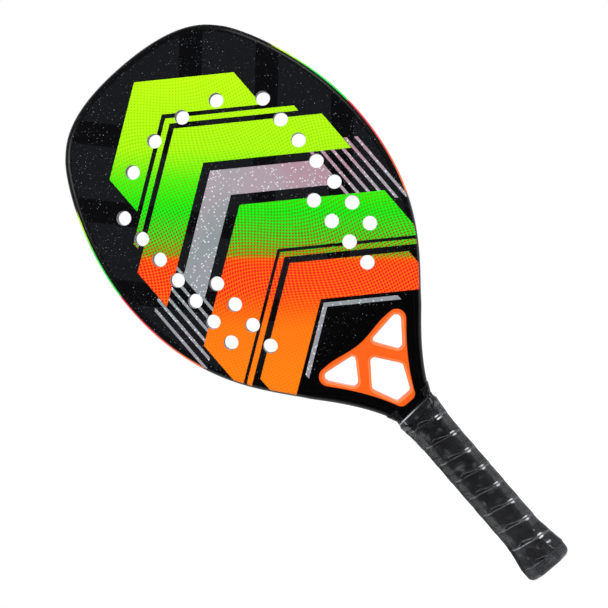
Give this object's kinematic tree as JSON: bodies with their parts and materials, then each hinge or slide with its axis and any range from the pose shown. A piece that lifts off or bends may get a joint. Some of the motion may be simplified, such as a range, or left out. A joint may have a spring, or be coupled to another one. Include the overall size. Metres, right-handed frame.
{
  "type": "beach tennis racket",
  "caption": "Beach tennis racket with a drilled round head, tubular frame, orange throat insert with three windows and a wound eight-sided grip.",
  "frame": {"origin": "centre of the butt end, at its lowest level, with the racket standing on its butt", "axes": "+X across the head to the right seen from the front, -Y out of the front face, +Z along the racket from the butt to the tip"},
  "size_m": [0.2294, 0.0352, 0.5],
  "materials": {
    "frame_laminate": "satin lacquer with a painted rim band",
    "inner_laminate": "bare laminate",
    "core_foam": "closed-cell foam",
    "face_laminate": "satin lacquer with printed artwork and pale flecks",
    "insert_plastic": "satin moulded plastic",
    "pallet_foam": "rigid foam",
    "cap_plastic": "moulded rubbery plastic",
    "grip_tape": "soft polyurethane grip tape",
    "finishing_tape": "glossy stretched tape"
  },
  "bodies": {
    "root": {"frame_tube": "frame_laminate", "throat_bridge": "inner_laminate", "throat_gusset": "inner_laminate", "foam_core": "core_foam", "front_face": "face_laminate", "back_face": "face_laminate", "throat_insert": "insert_plastic", "handle_pallet_front": "pallet_foam", "handle_pallet_back": "pallet_foam", "butt_cap": "cap_plastic", "grip_tape": "grip_tape", "finishing_tape": "finishing_tape"}
  },
  "joints": []
}
